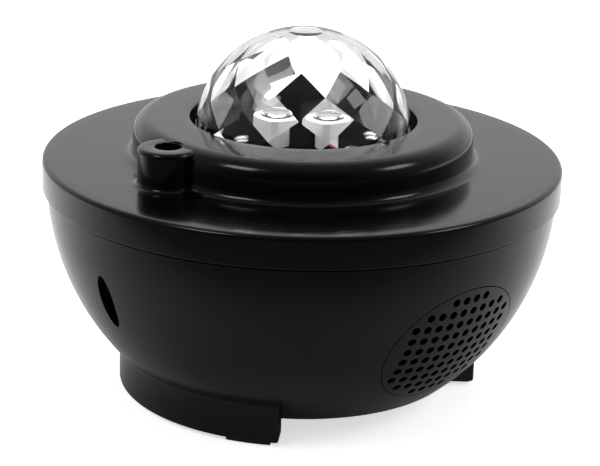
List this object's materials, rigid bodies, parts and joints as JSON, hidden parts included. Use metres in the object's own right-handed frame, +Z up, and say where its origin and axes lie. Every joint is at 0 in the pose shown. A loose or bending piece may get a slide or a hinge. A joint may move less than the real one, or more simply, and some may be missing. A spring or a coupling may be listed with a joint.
{
  "type": "star projector",
  "caption": "Bowl-shaped star projector with a turning clear faceted dome in a raised ring, a laser boss beside it and a speaker grille in its side.",
  "frame": {"origin": "on the dome's axis, level with the undersides of the rubber pads", "axes": "+Z up along the dome's axis, -Y towards the speaker grille, -X towards the laser boss and the power inlet"},
  "size_m": [0.165, 0.165, 0.1175],
  "materials": {
    "shell": "satin black moulded plastic",
    "crystal": "clear moulded acrylic",
    "rubber": "matte black rubber",
    "nylon": "natural nylon",
    "frame": "dark moulded plastic",
    "white_plastic": "glossy white plastic",
    "silvered": "metal-coated plastic",
    "aluminium": "brushed",
    "steel": "plated steel",
    "brass": "turned brass",
    "ferrite": "dark grey ferrite",
    "paper": "coated black paper",
    "board": "green solder mask",
    "black_board": "black solder mask",
    "chip": "moulded black epoxy",
    "red_wire": "red PVC insulation",
    "black_wire": "black PVC insulation"
  },
  "bodies": {
    "case": {"bowl_shell": "shell", "top_cover": "shell", "bottom_cover": "shell", "speaker_grille": "shell", "rubber_pad_1": "rubber", "rubber_pad_2": "rubber", "rubber_pad_3": "rubber", "rubber_pad_4": "rubber", "speaker_surround": "rubber", "chassis_plate": "frame", "laser_holder": "frame", "speaker_frame": "frame", "led_reflector_1": "silvered", "led_reflector_2": "silvered", "led_reflector_3": "silvered", "led_reflector_4": "silvered", "switch_body_1": "chip", "switch_body_2": "chip", "switch_body_3": "chip", "controller_chip": "chip", "led_heatsink": "aluminium", "board_capacitor": "aluminium", "drive_motor": "steel", "speaker_top_plate": "steel", "speaker_yoke": "steel", "power_socket": "steel", "case_screw_1": "steel", "case_screw_2": "steel", "case_screw_3": "steel", "case_screw_4": "steel", "chassis_screw_1": "steel", "chassis_screw_2": "steel", "chassis_screw_3": "steel", "chassis_screw_4": "steel", "base_screw_1": "steel", "base_screw_2": "steel", "laser_module": "brass", "speaker_magnet": "ferrite", "main_board": "board", "inlet_board": "board", "control_board": "board", "led_board": "black_board", "led_wire": "red_wire", "laser_wire": "red_wire", "motor_wire": "black_wire", "speaker_wire": "black_wire"},
    "dome": {"crystal_dome": "crystal", "dome_turntable": "nylon"},
    "pinion": {"motor_pinion": "nylon", "motor_shaft": "steel"},
    "grating": {"grating_gear": "nylon", "grating_disc": "crystal"},
    "cone": {"speaker_cone": "paper"},
    "button_1": {"button_cap_1": "shell", "switch_plunger_1": "white_plastic"},
    "button_2": {"button_cap_2": "shell", "switch_plunger_2": "white_plastic"},
    "button_3": {"button_cap_3": "shell", "switch_plunger_3": "white_plastic"}
  },
  "joints": [
    {"name": "dome_spin", "type": "hinge", "parent": "case", "child": "dome", "pos_m": [0, 0, 0.071], "axis": [0, 0, 1], "continuous": true},
    {"name": "motor_spin", "type": "hinge", "parent": "case", "child": "pinion", "pos_m": [0.054, 0, 0.071], "axis": [0, 0, 1], "continuous": true},
    {"name": "grating_spin", "type": "hinge", "parent": "case", "child": "grating", "pos_m": [-0.054, 0, 0.071], "axis": [0, 0, 1], "continuous": true},
    {"name": "cone_travel", "type": "slide", "parent": "case", "child": "cone", "axis": [0, -0.8874, -0.4611], "range_m": [-0.001, 0.001], "stiffness_N_per_m": 800},
    {"name": "button_press_1", "type": "slide", "parent": "case", "child": "button_1", "axis": [0, -1, 0], "range_m": [0, 0.0005], "stiffness_N_per_m": 600, "springref_m": -0.0008},
    {"name": "button_press_2", "type": "slide", "parent": "case", "child": "button_2", "axis": [0, -1, 0], "range_m": [0, 0.0005], "stiffness_N_per_m": 600, "springref_m": -0.0008},
    {"name": "button_press_3", "type": "slide", "parent": "case", "child": "button_3", "axis": [0, -1, 0], "range_m": [0, 0.0005], "stiffness_N_per_m": 600, "springref_m": -0.0008}
  ],
  "couplings": [
    {"joint": "motor_spin", "follows": "dome_spin", "ratio": -5},
    {"joint": "grating_spin", "follows": "dome_spin", "ratio": -5}
  ]
}
